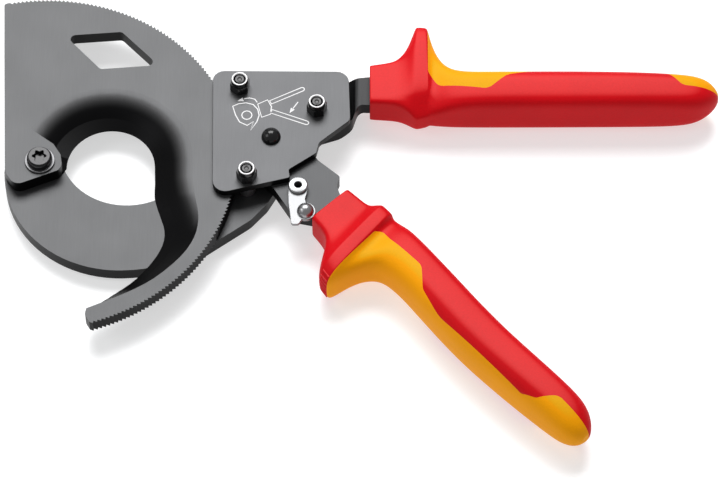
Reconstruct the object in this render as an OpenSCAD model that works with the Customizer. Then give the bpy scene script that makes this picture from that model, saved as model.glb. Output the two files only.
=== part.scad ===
// Two-handed ratchet cable cutter with a hooked moving blade, lying on its back.
// Origin: axis of the jaw pivot, on the back face of the fixed jaw plate.
// +X runs from the pivot towards the fixed grip, +Z from the back to the cover side.

/* [Plates] */
// Thickness of the fixed jaw plate and of the tang it is forged with
jaw_t = 6; // [5:0.5:7]
// Clearance on each side of the plates that swing between jaw and cover
gap = 0.1; // [0.05:0.01:0.15]
// Thickness of the swinging layer: blade, lever
blade_t = 5.9; // [5:0.1:6.5]
// Thickness of the cover plate
cover_t = 3; // [2:0.5:4]

/* [Blade] */
// Radius over the tips of the ratchet teeth
tooth_tip_r = 76.8; // [76:0.1:76.9]
// Depth of a ratchet tooth
tooth_depth = 0.9; // [0.6:0.1:1.2]
// Teeth that would fill the whole circle
teeth_per_turn = 292; // [292:4:300]
// Teeth that the blade carries
tooth_count = 142; // [120:1:142]
// Radius of the round part of the cutting edge
edge_r = 17.2; // [16:0.1:18]

/* [Fasteners] */
// Radius of the three housing bolts
bolt_r = 2; // [1.75:0.25:2.5]
// Width across the flats of the lock nuts
nut_af = 7; // [6.5:0.5:7]
// Height of the hexagon of a lock nut
nut_h = 4; // [3:0.5:5]
// Radius of the jaw pivot where the blade turns on it
pivot_r = 4; // [3.5:0.1:4.5]
// Radial running clearance in the bushes
run_fit = 0.05; // [0.02:0.01:0.1]

/* [Grips] */
// Half of the thickness of the grip body
grip_h = 11.5; // [10:0.5:12]
// Angle between the fixed grip and the moving grip when the handles are open
open_angle = 46.5; // [46:0.1:47]

/* [Hidden] */
$fn = 64;

// Levels of the stack, from the back
z_blade = jaw_t + gap;
z_top = z_blade + blade_t;
z_cover = z_top + gap;
z_nut = z_cover + cover_t;
z_mid = z_blade + blade_t / 2;

// Places in plan
bolt_at = [[77.5, 32.5], [107.8, 22], [80.8, -9]];
bolt_head_r = 4.2;
fulcrum_at = [90, 9.2];
drive_pin_at = [82.6, 14.8];
holding_pin_at = [84, 29.5];
latch_at = [100.7, -12.9];
spring_from = [100.2, 15.4];
spring_to = [98.4, 35.4];
edge_centre = [27.3, 0.5];
scallop_centre = [26, 0.5];
jaw_centre = [34, 10.4];
jaw_r = 27;

// ---------- outlines ----------
function unit(v) = v / norm(v);
function flat(p) = [p[0], p[1]];
function polar(c, r, a) = [c[0] + r * cos(a), c[1] + r * sin(a)];
function arc(c, r, a0, a1, n) = [for (i = [0:n]) polar(c, r, a0 + (a1 - a0) * i / n)];

// The points that round the corner c = [x, y, radius] between its neighbours a and b
function corner(a, c, b, n) =
  len(c) < 3 ? [flat(c)] :
  let (
    u = unit(flat(a) - flat(c)),
    v = unit(flat(b) - flat(c)),
    half = acos(u * v) / 2,
    centre = flat(c) + unit(u + v) * c[2] / sin(half),
    start = flat(c) + u * c[2] / tan(half) - centre,
    side = u[1] * v[0] - u[0] * v[1] > 0 ? 1 : -1,
    a0 = atan2(start[1], start[0])
  )
  arc(centre, c[2], a0, a0 + side * (180 - 2 * half), n);

// A closed outline from corners that are [x, y] or [x, y, radius]
function outline(p, n = 5) =
  [for (i = [0:len(p) - 1]) each corner(p[(i + len(p) - 1) % len(p)], p[i], p[(i + 1) % len(p)], n)];

// Saw teeth from the tail of the blade to its back: a gentle rise and a steep face
tooth_angle = 360 / teeth_per_turn;
tail_angle = -73.3;
function tooth_points() = [
  for (i = [0:tooth_count - 1]) each [
    polar([0, 0], tooth_tip_r - tooth_depth, tail_angle + i * tooth_angle),
    polar([0, 0], tooth_tip_r, tail_angle + (i + 0.72) * tooth_angle)
  ]
];

function blade_points() = outline(concat(
  tooth_points(),
  [[-17.3, 74.6, 1.2], [-13.4, -5, 5], [-9.5, -11.2, 4], [7.2, -4.2, 2], [10.1, 0, 2]],
  arc(edge_centre, edge_r, 170, 2, 24),
  [[44.8, -14, 14], [49, -28.3, 1], [48.4, -36, 10], [38, -50.8, 25], [30, -57.3, 25],
   [21, -63.8, 1.5], [19.9, -69.5, 3]]
));

// The jaw plate: horn round the pivot, outer arc, arm to the housing, root of the tang, tang
tang_end = 236;
function jaw_points() = outline(concat(
  arc([0, 0], 14.1, 58, 176, 12),
  arc([32, 0], 46.2, 182, 268, 20),
  arc([32, 13.8], 60, 271, 302, 8),
  [[82.2, -23.4, 10], [88.6, -16, 9], [93.5, -7, 8], [104, 13.5, 6], [121.6, 19.6, 3],
   [124, 26.4, 3], [tang_end, 24.4, 4], [tang_end, 35.4, 4], [128, 39.5, 20],
   [119.5, 38.2], [118, 40, 1], [66.8, 40.4, 4.5], [63, 16, 10]],
  arc(jaw_centre, jaw_r, -2, -182, 36)
));

cover_points = outline([[66.7, 40.4, 4.5], [67.6, -17.4, 5], [97.6, -9.5, 1], [97, -5.9, 1.2],
                        [107.7, 1.8, 1.2], [108.8, 6.6, 2.5], [120.9, 17.2, 3], [120.2, 40, 5]]);

// The lever below its head: heel, neck, tang in the moving grip, lug for the opening spring
lever_length = 96;
function along_grip(x, y) = polar(polar([114.5, -20.3], x, -open_angle), y, 90 - open_angle);
neck_points = outline([
  [81.5, 9, 3], [84.6, -5.5, 2.5], [91.5, -13, 8], [98.5, -24.6, 6],
  along_grip(0, -9.2), concat(along_grip(20, -4.2), [8]), concat(along_grip(lever_length, -5), [3]),
  concat(along_grip(lever_length, 4), [3]), along_grip(0, 4.2), [115.6, -11.2, 2.5], [117, -7.2, 1.5],
  [107.6, 1, 7], [103.2, 15.7, 0.6], [97.6, 15.2, 0.6], [92, 12]
]);

// Grips along x: [x, inner side, palm side, half thickness, squareness]; y counts from the tang
fixed_stations = [
  [0, -5.9, 12.7, 7, 7], [1, -6.1, 13, 7.3, 7], [8, -6.5, 13.7, 7.5, 6], [12, -7.4, 15.6, 8.2, 5],
  [15, -8.8, 19.2, 9, 4], [17.2, -10.4, 25, 9.6, 4], [18.6, -11, 30.4, 9.8, 4], [20.5, -10.6, 30.6, 9.8, 4],
  [22.6, -9.8, 29.8, 9.8, 4], [23.8, -9.6, 28.4, 10, 3.6], [25.4, -9.6, 21.7, 10.5, 3.2],
  [28, -9.5, 15, 11, 3], [32, -9.2, 10.9, 11.4, 2.9], [38, -8.8, 9.5, 11.5, 2.9],
  [52, -8.7, 9.4, 11.5, 2.9], [86, -8.5, 9.4, 11.5, 2.9], [106, -8.4, 8.9, 11.4, 2.9],
  [120, -8.5, 8.2, 11, 2.9], [128, -8.2, 7.8, 9.5, 2.8], [133, -5.8, 6.4, 7, 2.6],
  [136, -3.2, 3.2, 4, 2.4], [137, -1, 1.4, 1.5, 2]
];
moving_stations = [
  [0, -7.8, 11.6, 7, 7], [1, -7.9, 11.8, 7.3, 7], [8, -8.1, 12.4, 7.5, 6], [12, -9.7, 16.4, 8.2, 5],
  [15, -11.8, 21.4, 9, 4], [17.2, -12.3, 24, 9.6, 4], [19, -12, 25.8, 9.8, 4], [22.6, -12, 27.4, 9.8, 4],
  [24.6, -12.3, 27, 10.2, 3.6], [26.2, -12.6, 23.5, 10.7, 3.2], [28, -12.6, 16.8, 11, 3],
  [30, -12.5, 11.4, 11.2, 3], [33, -12.2, 8, 11.4, 2.9], [38, -11.7, 6.9, 11.5, 2.9],
  [45, -11.1, 6.9, 11.5, 2.9], [52, -10.5, 7.7, 11.5, 2.9], [60, -9.8, 8.5, 11.5, 2.9],
  [70, -8.8, 9.5, 11.5, 2.9], [80, -8.1, 10.1, 11.5, 2.9], [90, -7.6, 10.2, 11.5, 2.9],
  [106, -7.6, 9.7, 11.4, 2.9], [120, -7.8, 8.7, 11, 2.9], [128, -7.7, 8.3, 9.5, 2.8],
  [133, -6.4, 7.6, 7.8, 2.6], [137, -3.4, 5.4, 5.2, 2.4], [139, -0.6, 2.8, 2, 2]
];
// Thickness of the soft pad on the hard core
pad_t = 2.2;

// ---------- solids that repeat ----------
module plate(points, z, t) {
  translate([0, 0, z]) linear_extrude(t) polygon(points);
}

module at(p, z = 0) {
  translate([p[0], p[1], z]) children();
}

// A skin through rings that all have the same number of points
module skin(rings) {
  n = len(rings[0]);
  m = len(rings);
  points = [for (r = rings) each r];
  ends = [[for (i = [0:n - 1]) i], [for (i = [n - 1:-1:0]) (m - 1) * n + i]];
  sides = [
    for (j = [0:m - 2], i = [0:n - 1])
      let (a = j * n + i, b = j * n + (i + 1) % n)
        each [[a, a + n, b], [b, a + n, b + n]]
  ];
  polyhedron(points, concat(ends, sides));
}

// A wire of radius w round a helix of radius r, with its axis on z
module coil(r, w, turns, height, per_turn = 18, sides = 8) {
  steps = turns * per_turn;
  skin([
    for (i = [0:steps])
      let (a = 360 * i / per_turn, z = w + (height - 2 * w) * i / steps)
        [for (k = [0:sides - 1])
          let (b = -360 * k / sides, d = r + w * cos(b))
            [d * cos(a), d * sin(a), z + w * sin(b)]]
  ]);
}

function ring_point(s, a) =
  let (
    c = (s[1] + s[2]) / 2,
    h = (s[2] - s[1]) / 2,
    e = 2 / s[4],
    u = sign(cos(a)) * pow(abs(cos(a)), e),
    v = sign(sin(a)) * pow(abs(sin(a)), e)
  )
  [s[0], c + h * u, v * s[3] * grip_h / 11.5];

module grip_body(stations) {
  skin([for (s = stations) [for (k = [0:27]) ring_point(s, 360 * (k + 0.5) / 28)]]);
}

// The hard core under the pad, behind the guard: the body less the pad's thickness
module grip_inside(stations) {
  grip_body([
    for (s = stations) if (s[0] > 29 && s[0] < 130)
      [s[0], s[1] + pad_t, s[2] - pad_t, s[3] - pad_t, s[4]]
  ]);
}

// The soft zone of a grip in plan: back of the guard, thumb rest, palm strip and end
module pad_zone() {
  plate(outline([[23.2, 40], [23.2, 6, 1.5], [25.6, -1.6, 3], [46, -1.8, 6], [54, 5, 6], [62, 7.4, 20],
                 [112, 8.3, 4], [117.5, 6.9, 3], [122.5, -0.4, 3], [145, -0.4], [145, 40]], 4), -20, 40);
}

module grip_core(stations) {
  difference() {
    grip_body(stations);
    pad_zone();
  }
  grip_inside(stations);
}

module grip_pad(stations) {
  difference() {
    intersection() {
      grip_body(stations);
      pad_zone();
    }
    grip_inside(stations);
  }
}

module fixed_grip_place() {
  translate([128.5, 31, z_mid]) children();
}

module moving_grip_place() {
  translate([114.5, -20.3, z_mid]) rotate(-open_angle) mirror([0, 1, 0]) children();
}

// ---------- frame: jaw plate, pivot, cover, fasteners ----------
joggle_x = 117.5;
joggle_run = 5;

// Side view of the jaw plate: flat, then up by one layer into the tang
module jaw_side_view() {
  up = z_blade;
  rotate([90, 0, 0]) translate([0, 0, -60]) linear_extrude(130)
    polygon([[-20, 0], [joggle_x + 2, 0], [joggle_x + 2 + joggle_run, up], [tang_end + 5, up],
             [tang_end + 5, up + blade_t], [joggle_x + joggle_run, up + blade_t],
             [joggle_x, jaw_t], [-20, jaw_t]]);
}

module jaw_blank() {
  intersection() {
    plate(jaw_points(), 0, z_top);
    jaw_side_view();
  }
}

module jaw_plate() {
  edge_run = 6;
  color("#8c8d8f") difference() {
    jaw_blank();
    // the cutting edge is ground from the back, away from the pivot
    intersection() {
      at(jaw_centre, -0.01) cylinder(h = jaw_t + 0.02, r1 = jaw_r + edge_run, r2 = jaw_r, $fn = 96);
      translate([0, -70, -1]) cube([62, 62, jaw_t + 2]);
    }
    // blind thread of the pivot screw
    translate([0, 0, 1.5]) cylinder(h = 10, r = 3);
    for (p = bolt_at) at(p) countersink(bolt_r, bolt_head_r);
    at(fulcrum_at) countersink(2.5, 4.6);
    at(holding_pin_at, 3) cylinder(h = 5, r = 1.75);
    at(spring_to, 3) cylinder(h = 5, r = 1.5);
  }
}

// Through hole with a 90 degree countersink on the back face
module countersink(r, head_r) {
  translate([0, 0, -1]) cylinder(h = 20, r = r);
  translate([0, 0, -0.01]) cylinder(h = head_r - r + 0.01, r1 = head_r + 0.01, r2 = r);
}

module pivot_sleeve() {
  color("#6d6e70") translate([0, 0, jaw_t]) difference() {
    cylinder(h = blade_t + 2 * gap, r = pivot_r);
    translate([0, 0, -1]) cylinder(h = 10, r = 3);
  }
}

module pivot_washer() {
  color("#b9bbbd") translate([0, 0, z_cover]) difference() {
    cylinder(h = 0.8, r = 5.9);
    translate([0, 0, -1]) cylinder(h = 3, r = 3);
  }
}

// Button head screw with a six-lobed recess
module pivot_screw() {
  head_r = 5;
  head_z = z_cover + 0.8;
  color("#1c1c1e") difference() {
    union() {
      translate([0, 0, 1.5]) cylinder(h = head_z - 1.5, r = 3);
      translate([0, 0, head_z]) rotate_extrude()
        polygon(concat([[0, 0], [head_r, 0], [head_r, 0.7]], arc([1.4, 0.7], 3.6, 6, 52, 6), [[0, 2.9]]));
    }
    translate([0, 0, head_z + 1.1]) linear_extrude(3) {
      circle(r = 2);
      for (i = [0:5]) rotate(60 * i) translate([1.95, 0]) circle(r = 0.65, $fn = 24);
    }
  }
}

module cover_plate() {
  color("#8c8d8f") difference() {
    plate(cover_points, z_cover, cover_t);
    for (p = bolt_at) at(p, z_cover - 1) cylinder(h = 6, r = bolt_r);
    at(fulcrum_at, z_cover - 1) cylinder(h = 6, r = 2.5);
    at(holding_pin_at, z_cover - 1) cylinder(h = 2.5, r = 1.75);
    at(spring_to, z_cover - 1) cylinder(h = 2.5, r = 1.5);
  }
}

// Countersunk bolts, flush with the back of the jaw plate
module housing_bolts() {
  color("#2a2a2c") for (p = bolt_at) at(p) difference() {
    union() {
      cylinder(h = z_nut + nut_h + 2.2, r = bolt_r);
      cylinder(h = bolt_head_r - bolt_r, r1 = bolt_head_r, r2 = bolt_r);
    }
    translate([0, 0, -0.01]) cylinder(h = 1.5, r = 1.45, $fn = 6);
  }
}

module spacer_sleeves() {
  color("#77787a") for (p = bolt_at) at(p, jaw_t) difference() {
    cylinder(h = blade_t + 2 * gap, r = 3.4);
    translate([0, 0, -1]) cylinder(h = 10, r = bolt_r);
  }
}

// Hexagon with chamfered corners and a round collar that holds the insert
module lock_nuts() {
  color("#151517") for (p = bolt_at) at(p, z_nut) difference() {
    union() {
      intersection() {
        cylinder(h = nut_h, r = nut_af / 2 / cos(30), $fn = 6);
        rotate_extrude() polygon([[0, 0], [3.7, 0], [4.1, 0.4], [4.1, nut_h - 0.4], [3.7, nut_h], [0, nut_h]]);
      }
      cylinder(h = nut_h + 2, r = 3.3);
    }
    translate([0, 0, -1]) cylinder(h = nut_h + 2, r = bolt_r);
    translate([0, 0, nut_h]) cylinder(h = 3, r = 2.8);
  }
}

module nut_inserts() {
  color("#e8e8ea") for (p = bolt_at) at(p, z_nut + nut_h) difference() {
    cylinder(h = 1.7, r = 2.8);
    translate([0, 0, -1]) cylinder(h = 4, r = bolt_r);
  }
}

// ---------- blade ----------
// Cuts across the grind, from the left end of the cutting edge round to the tail:
// cutting edge, top of the bevel, top of the hollow, and how fast the hollow rolls off
scallop_cuts = [
  for (a = [190:-6.25:2.5])
    concat(polar(edge_centre, edge_r, a), polar(scallop_centre, 22, a), polar(scallop_centre, 33.6, a), [2])
];
tail_cuts = [
  [44.8, -7, 48.3, -7, 59.6, -7, 1.9],
  [45, -14.5, 49.6, -14, 60.4, -14, 1.6],
  [46.9, -21, 51.4, -20.5, 61.6, -20, 1.3],
  [49, -28.3, 53.3, -27.8, 62.3, -27, 1.1],
  [48.4, -35, 52.8, -35, 60.8, -35, 1],
  [44.6, -42.6, 48.8, -43, 55.8, -43.6, 1],
  [38, -50.8, 41, -51.8, 45.8, -53.4, 1],
  [30, -57.3, 31.8, -58.2, 35, -60, 1],
  [21.5, -63.5, 22, -64.3, 22.8, -65.6, 1],
  [18, -66, 18.3, -66.6, 18.8, -67.4, 1]
];

// Point t of the smooth curve from p[i] to p[i + 1]
function between(p, i, t) =
  let (a = p[i - 1], b = p[i], c = p[i + 1], d = p[i + 2])
  b + t * ((c - a) / 2 + t * (a - 2.5 * b + 2 * c - d / 2 + t * (1.5 * (b - c) + (d - a) / 2)));

function grind_ring(s) =
  let (
    e = [s[0], s[1], z_blade],
    b = [s[2], s[3], z_blade + 2],
    o = [s[4], s[5], z_top],
    low = e + (e - b) * 0.4,
    high = o + (o - b) * 0.02
  )
  [low,
   for (k = [0:6]) let (t = k / 6) [b[0] + (o[0] - b[0]) * t, b[1] + (o[1] - b[1]) * t,
                                    o[2] - (o[2] - b[2]) * pow(1 - t, s[6])],
   [high[0], high[1], z_top + 2], [low[0], low[1], z_top + 2]];

module grind() {
  difference() {
    skin([
      for (s = scallop_cuts) grind_ring(s),
      grind_ring(tail_cuts[0]),
      for (i = [1:len(tail_cuts) - 3], k = [0:2]) grind_ring(between(tail_cuts, i, k / 3)),
      for (i = [len(tail_cuts) - 2, len(tail_cuts) - 1]) grind_ring(tail_cuts[i])
    ]);
    // full height stays round the pivot and up to the ledge beside it
    plate([[-20, 27], [-5.5, 16], [5, 8], [8, 3], [8.6, -1], [6, -14], [-20, -14]], 0, 30);
  }
}

module moving_blade() {
  window = outline([[7.6, 59.3, 2], [30, 61.1, 2], [45, 45.2, 2], [22.1, 43.3, 2]]);
  color("#8c8d8f") difference() {
    plate(blade_points(), z_blade, blade_t);
    grind();
    plate(window, 0, 20);
    cylinder(h = 20, r = 5.2);
  }
}

module blade_bush() {
  color("#b08d57") translate([0, 0, z_blade]) difference() {
    cylinder(h = blade_t, r = 5.2);
    translate([0, 0, -1]) cylinder(h = 10, r = pivot_r + run_fit);
  }
}

// ---------- handle: lever, fulcrum, pawls, springs ----------
pawl_z = z_blade + 2.1;
pawl_t = 2.2;
fulcrum_r = 3.6;
lever_bush_r = 4.6;

// Lever in plan: round head, nose that carries the drive pawl, neck and tang
module lever_blank() {
  translate([0, 0, z_blade]) linear_extrude(blade_t) {
    translate(fulcrum_at) circle(r = 11.5);
    translate(drive_pin_at) circle(r = 3.9);
    polygon(neck_points);
  }
}

module handle_lever() {
  color("#858688") difference() {
    lever_blank();
    at(fulcrum_at) cylinder(h = 20, r = lever_bush_r);
    at(drive_pin_at) cylinder(h = 20, r = 1.5);
    // pocket in which the drive pawl swings
    translate([0, 0, pawl_z - gap]) linear_extrude(10) {
      translate(drive_pin_at) circle(r = 3.9);
      polygon([[70, 30], [70, -8], [82, -8], [83.9, 8], [84.9, 12.2], [83, 17], [84, 30]]);
    }
    // seat of the opening spring
    translate([0, 0, z_blade - 1]) linear_extrude(10)
      polygon([[97, 15.15], [103.5, 15.75], [103.5, 30], [96.6, 30]]);
    at(latch_at, z_blade + 1) cylinder(h = 20, r = 1.6);
  }
}

module lever_bush() {
  color("#b08d57") at(fulcrum_at, z_blade) difference() {
    cylinder(h = blade_t, r = lever_bush_r);
    translate([0, 0, -1]) cylinder(h = 10, r = fulcrum_r + run_fit);
  }
}

// Shouldered rivet: domed on the cover, countersunk in the back
module fulcrum_rivet() {
  dome_r = 3.8;
  color("#151517") at(fulcrum_at) {
    cylinder(h = z_nut, r = 2.5);
    cylinder(h = 2.1, r1 = 4.6, r2 = 2.5);
    translate([0, 0, jaw_t]) cylinder(h = blade_t + 2 * gap, r = fulcrum_r);
    translate([0, 0, z_nut]) rotate_extrude()
      polygon(concat([[0, 0], [dome_r, 0]], arc([0, -0.2], dome_r, 5, 85, 8), [[0, dome_r - 0.2]]));
  }
}

// A pawl: eye round its pin and an arm to a wedge-shaped nose
module pawl(pin, nose, eye_r, pin_r, nose_angle) {
  side = unit(flat(nose - pin));
  across = [-side[1], side[0]];
  difference() {
    union() {
      at(pin) cylinder(h = pawl_t, r = eye_r);
      linear_extrude(pawl_t) polygon([
        pin - across * eye_r * 0.9, pin + across * eye_r * 0.9,
        nose + across * 2.4 - side * 1.6, polar(nose, 1.3, nose_angle), nose,
        nose - across * 0.5 - side * 2
      ]);
    }
    at(pin, -1) cylinder(h = 6, r = pin_r);
  }
}

module drive_pawl() {
  color("#5a5b5e") translate([0, 0, pawl_z])
    pawl(drive_pin_at, polar([0, 0], tooth_tip_r + 0.55, 3.4), 3.4, 1.5 + run_fit, 0);
}

module drive_pawl_pin() {
  color("#9a9b9d") at(drive_pin_at, z_blade) cylinder(h = blade_t, r = 1.5);
}

module drive_pawl_spring() {
  color("#c8c9cb") at(drive_pin_at, pawl_z + pawl_t + 0.05) coil(2.2, 0.24, 2, 1.55);
}

module holding_pawl() {
  color("#5a5b5e") translate([0, 0, pawl_z])
    pawl(holding_pin_at, polar([0, 0], tooth_tip_r + 0.55, 11.3), 3.6, 1.75 + run_fit, 0);
}

module holding_pawl_pin() {
  color("#9a9b9d") at(holding_pin_at, 3) cylinder(h = z_cover - 3 + 1.5, r = 1.75);
}

module holding_pawl_spring() {
  color("#c8c9cb") at(holding_pin_at, pawl_z + pawl_t + 0.05) coil(2.5, 0.24, 2, 1.55);
}

module opening_spring() {
  run = spring_to - spring_from;
  color("#c8c9cb") at(spring_from, z_mid) rotate([0, 90, atan2(run[1], run[0])])
    translate([0, 0, 0.4]) coil(2.1, 0.45, 9, norm(run) - 2.2, 14, 6);
}

module spring_post() {
  color("#9a9b9d") at(spring_to, 3) cylinder(h = z_cover - 3 + 1.5, r = 1.5);
}

// ---------- latch ----------
latch_z = z_top + 0.6;
latch_t = 1.4;
ball_at = [103.6, -24.2];

module latch_plate() {
  color("#d9dadc") difference() {
    union() {
      plate(outline([[96.9, -12, 1], [97, -20, 3], [98.2, -30.2, 1], [101, -30.1, 1], [104.6, -24, 2],
                     [103.4, -18.6, 3], [104.6, -14, 2], [101, -9.6, 3]]), latch_z, latch_t);
      at(latch_at, latch_z) cylinder(h = latch_t, r = 3.9);
      at(ball_at, latch_z) cylinder(h = latch_t, r = 3.9);
    }
    at(latch_at, latch_z - 1) cylinder(h = 4, r = 1.65);
    at(ball_at, latch_z - 1) cylinder(h = 4, r = 1.2);
  }
}

module latch_rivet() {
  color("#e2e3e4") at(latch_at) difference() {
    union() {
      translate([0, 0, z_blade + 1]) cylinder(h = latch_z + latch_t + 0.05 - z_blade - 1, r = 1.6);
      translate([0, 0, latch_z + latch_t + 0.05]) rotate_extrude()
        polygon(concat([[0, 0], [3.5, 0]], arc([2.7, 0.2], 0.9, 0, 80, 4), [[1.9, 1.3], [0, 1.3]]));
    }
    translate([0, 0, latch_z]) cylinder(h = 10, r = 1.2);
  }
}

module latch_washer() {
  color("#a6a7a9") at(latch_at, z_top) difference() {
    cylinder(h = latch_z - z_top - 0.05, r = 3.2);
    translate([0, 0, -1]) cylinder(h = 4, r = 1.6);
  }
}

// Thumb button riveted into the latch, its foot in the plate
module latch_ball() {
  color("#c9cacc") at(ball_at) {
    translate([0, 0, latch_z]) cylinder(h = latch_t, r = 1.2);
    translate([0, 0, latch_z + latch_t]) rotate_extrude()
      polygon(concat([[0, 0], [3, 0]], arc([0, -0.3], 3, 8, 86, 8), [[0, 2.7]]));
  }
}

// ---------- grips ----------
// Each grip is a hard core moulded over its tang, and a soft pad moulded on the core
module fixed_grip_core() {
  color("#e0141c") difference() {
    fixed_grip_place() grip_core(fixed_stations);
    jaw_blank();
  }
}

module fixed_grip_pad() {
  color("#f6a81c") difference() {
    fixed_grip_place() grip_pad(fixed_stations);
    jaw_blank();
  }
}

module moving_grip_core() {
  color("#e0141c") difference() {
    moving_grip_place() grip_core(moving_stations);
    lever_blank();
  }
}

module moving_grip_pad() {
  color("#f6a81c") difference() {
    moving_grip_place() grip_pad(moving_stations);
    lever_blank();
  }
}

jaw_plate();
moving_blade();
blade_bush();
pivot_sleeve();
pivot_washer();
pivot_screw();
cover_plate();
housing_bolts();
spacer_sleeves();
lock_nuts();
nut_inserts();
handle_lever();
lever_bush();
fulcrum_rivet();
drive_pawl();
drive_pawl_pin();
drive_pawl_spring();
holding_pawl();
holding_pawl_pin();
holding_pawl_spring();
opening_spring();
spring_post();
latch_plate();
latch_rivet();
latch_washer();
latch_ball();
fixed_grip_core();
fixed_grip_pad();
moving_grip_core();
moving_grip_pad();
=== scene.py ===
import bmesh
import bpy
from math import copysign, cos, hypot, pi, radians, sin, tan
from mathutils import Matrix, Vector


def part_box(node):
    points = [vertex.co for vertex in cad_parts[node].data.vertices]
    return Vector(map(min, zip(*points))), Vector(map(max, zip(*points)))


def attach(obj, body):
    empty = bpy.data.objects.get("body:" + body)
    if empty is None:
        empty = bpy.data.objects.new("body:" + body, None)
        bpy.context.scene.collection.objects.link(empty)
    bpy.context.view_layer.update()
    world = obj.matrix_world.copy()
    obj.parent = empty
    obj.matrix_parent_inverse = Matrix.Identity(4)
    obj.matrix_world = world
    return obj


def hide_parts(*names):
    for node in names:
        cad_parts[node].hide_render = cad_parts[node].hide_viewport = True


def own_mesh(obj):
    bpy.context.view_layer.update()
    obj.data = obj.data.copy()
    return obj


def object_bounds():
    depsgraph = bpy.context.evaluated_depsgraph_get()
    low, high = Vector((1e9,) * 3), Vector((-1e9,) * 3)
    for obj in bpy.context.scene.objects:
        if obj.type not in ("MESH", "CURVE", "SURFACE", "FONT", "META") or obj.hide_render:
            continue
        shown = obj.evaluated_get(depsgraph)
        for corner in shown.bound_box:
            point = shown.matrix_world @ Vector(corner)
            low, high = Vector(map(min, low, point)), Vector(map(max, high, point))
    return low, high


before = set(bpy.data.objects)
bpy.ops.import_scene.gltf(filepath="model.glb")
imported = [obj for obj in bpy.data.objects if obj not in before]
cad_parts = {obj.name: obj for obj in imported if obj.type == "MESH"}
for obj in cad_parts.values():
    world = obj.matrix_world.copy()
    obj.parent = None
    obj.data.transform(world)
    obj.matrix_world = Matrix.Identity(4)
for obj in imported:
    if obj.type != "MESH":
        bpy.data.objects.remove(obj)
cad_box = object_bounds()
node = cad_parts
mm = 0.001

# ---------- studio ----------
# White table top under a large soft box, a weaker fill from the front left, and a bright
# room all round. The tool lies on its grips, with its head just above the table.
scene = bpy.context.scene
scene.view_settings.view_transform = "Standard"

bpy.ops.object.select_all(action="DESELECT")
bpy.ops.mesh.primitive_plane_add(size=8, location=(0.12, 0, cad_box[0].z - 0.02 * mm))
table_top = bpy.context.object
table_top.name = "table_top"
paper = bpy.data.materials.new("white_paper")
paper.use_nodes = True
shader = paper.node_tree.nodes["Principled BSDF"]
shader.inputs["Base Color"].default_value = (0.5, 0.51, 0.52, 1)
shader.inputs["Roughness"].default_value = 0.3
shader.inputs["Emission Color"].default_value = (1, 1, 1, 1)
shader.inputs["Emission Strength"].default_value = 0.56
table_top.data.materials.append(paper)

room = bpy.data.worlds.new("bright_room")
room.use_nodes = True
room.node_tree.nodes["Background"].inputs["Color"].default_value = (1, 1, 1, 1)
room.node_tree.nodes["Background"].inputs["Strength"].default_value = 0.34
scene.world = room


def soft_box(name, place, aim, size, watts):
    """An area light at place that shines towards aim."""
    bpy.ops.object.light_add(type="AREA", location=place)
    lamp = bpy.context.object
    lamp.name = name
    lamp.data.shape = "RECTANGLE"
    lamp.data.size, lamp.data.size_y = size
    lamp.data.energy = watts
    lamp.rotation_euler = (Vector(aim) - Vector(place)).to_track_quat("-Z", "Y").to_euler()


middle = (0.12, -0.02, 0)
soft_box("overhead_box", (0.05, 0.75, 1.15), middle, (1.1, 0.7), 17)
soft_box("side_fill", (-0.9, -0.1, 0.9), middle, (0.6, 0.6), 2.5)

# The camera stands over the near side of the table and looks down at 58 degrees, from far off.
camera_height = radians(58.2)
camera_reach = 1.5385
aim = Vector((0.12467, -0.03592, 0.012))
camera_way = Vector((0, -cos(camera_height), sin(camera_height)))
bpy.ops.object.camera_add(location=aim + camera_reach * camera_way,
                          rotation=(pi / 2 - camera_height, 0, 0))
scene.camera = bpy.context.object
scene.camera.data.lens = 200
scene.camera.data.sensor_width = 36


# ---------- fixed jaw plate ----------
# Forged plate, 6 mm thick, that is jaw, housing back and tang of the fixed grip in one. Its
# flats are ground to a satin grey and its edges stay black. It bends up into the tang.
def add_node(tree, kind, inputs, **settings):
    """A shader node; an input, by name or number, is a value or the socket that feeds it."""
    made = tree.nodes.new(kind)
    for key, value in settings.items():
        setattr(made, key, value)
    for key, value in inputs.items():
        if isinstance(value, bpy.types.NodeSocket):
            tree.links.new(value, made.inputs[key])
        else:
            made.inputs[key].default_value = value
    return made


def new_group(name, takes, gives):
    """A node group with named colour and number sockets: the group, what it takes, what it gives."""
    group = bpy.data.node_groups.new(name, "ShaderNodeTree")
    for way, sockets in (("INPUT", takes), ("OUTPUT", gives)):
        for label, kind in sockets.items():
            group.interface.new_socket(name=label, in_out=way, socket_type="NodeSocket" + kind)
    entry, end = group.nodes.new("NodeGroupInput"), group.nodes.new("NodeGroupOutput")
    return group, entry.outputs, end.inputs


def new_material(name, metallic, specular):
    """A material with its shader; its colour, roughness and bump are linked by the caller."""
    material = bpy.data.materials.new(name)
    material.use_nodes = True
    principled = material.node_tree.nodes["Principled BSDF"]
    principled.inputs["Metallic"].default_value = metallic
    principled.inputs["Specular IOR Level"].default_value = specular
    return material, material.node_tree, principled


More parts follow.
